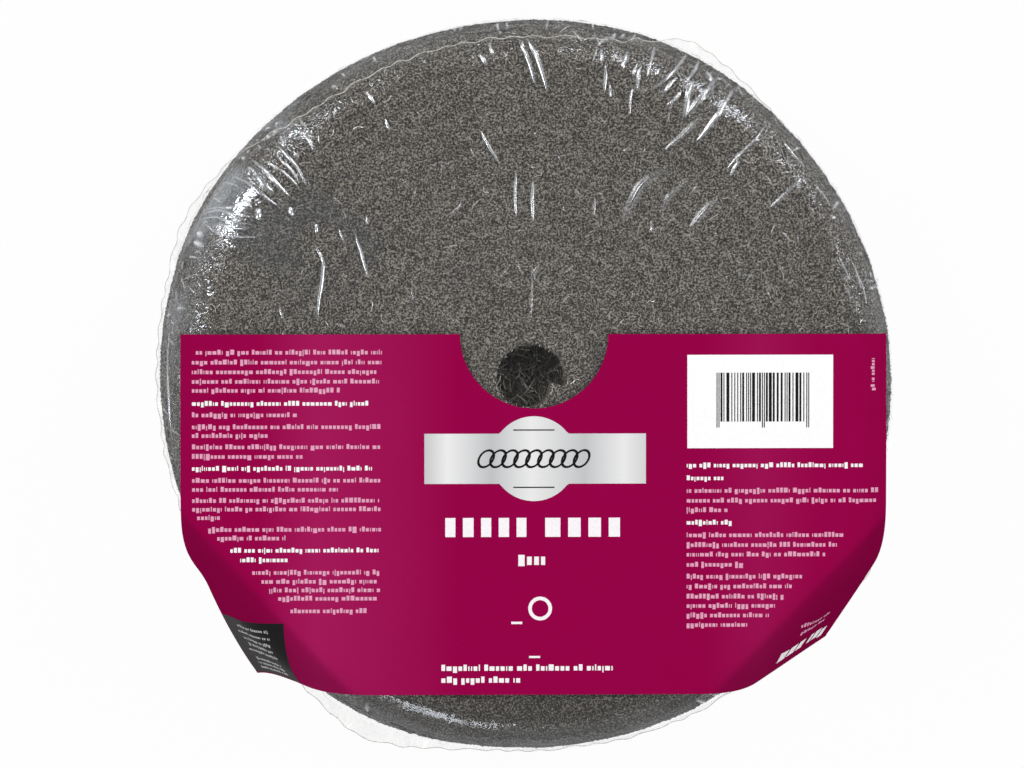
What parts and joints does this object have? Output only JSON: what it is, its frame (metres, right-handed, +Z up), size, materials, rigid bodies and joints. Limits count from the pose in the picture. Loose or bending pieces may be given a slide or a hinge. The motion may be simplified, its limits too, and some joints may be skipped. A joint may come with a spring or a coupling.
{
  "type": "steel wool roll",
  "caption": "Wound roll of steel wool lying flat, wrapped in clear shrink film, with a notched paper label folded over its rim.",
  "frame": {"origin": "centre of the back face that the roll lies on", "axes": "+Z up along the roll's axis, from the back face to the labelled front face; +Y towards the straight top edge of the label; +X to the right as the label is seen upright"},
  "size_m": [0.2496, 0.2484, 0.0994],
  "materials": {
    "steel_wool": "fine steel fibres, wound",
    "clear_film": "clear glossy shrink film",
    "label_paper": "smooth printed paper, satin"
  },
  "bodies": {
    "root": {"wool_roll": "steel_wool", "shrink_film": "clear_film", "label": "label_paper"}
  },
  "joints": []
}
